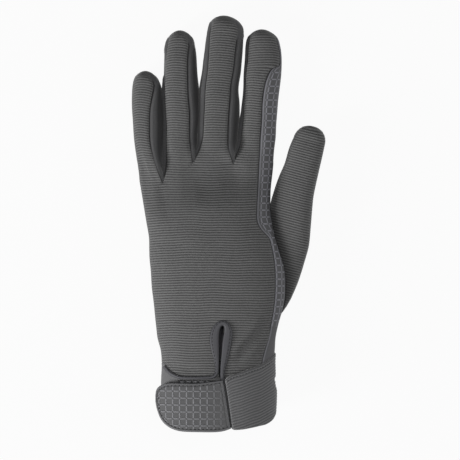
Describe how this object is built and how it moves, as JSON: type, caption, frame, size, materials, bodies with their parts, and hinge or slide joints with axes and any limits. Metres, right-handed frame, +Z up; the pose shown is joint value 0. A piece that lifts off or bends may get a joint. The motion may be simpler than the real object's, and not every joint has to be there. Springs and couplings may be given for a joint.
{
  "type": "horse riding glove",
  "caption": "Riding glove for the left hand with ribbed knit back, leather palm with a grip grid, keyhole slit at the wrist and a wrap-over elastic strap with a rounded tab.",
  "frame": {"origin": "centre of the glove's bounding box, on the surface that it lies on", "axes": "+Y from the hem to the fingertips, +X to the thumb, +Z up out of the back of the hand"},
  "size_m": [0.1086, 0.2346, 0.0341],
  "materials": {
    "rib_knit": "matt, fine cross ribs",
    "plain_knit": "matt, smooth knit",
    "grip_leather": "satin grain with a raised square grid",
    "cuff_fabric": "matt, smooth",
    "binding_tape": "soft satin tape",
    "loop_fabric": "napped loop pile",
    "ribbed_elastic": "matt woven elastic with slanted ribs"
  },
  "bodies": {
    "root": {"back_panel": "rib_knit", "palm_panel": "grip_leather", "fourchette_little_ring": "plain_knit", "fourchette_ring_middle": "plain_knit", "fourchette_middle_index": "plain_knit", "thumb_back": "rib_knit", "thumb_front": "grip_leather", "cuff_band": "cuff_fabric", "vent_binding": "binding_tape", "loop_patch": "loop_fabric", "strap_elastic": "ribbed_elastic", "strap_tab": "grip_leather"}
  },
  "joints": []
}
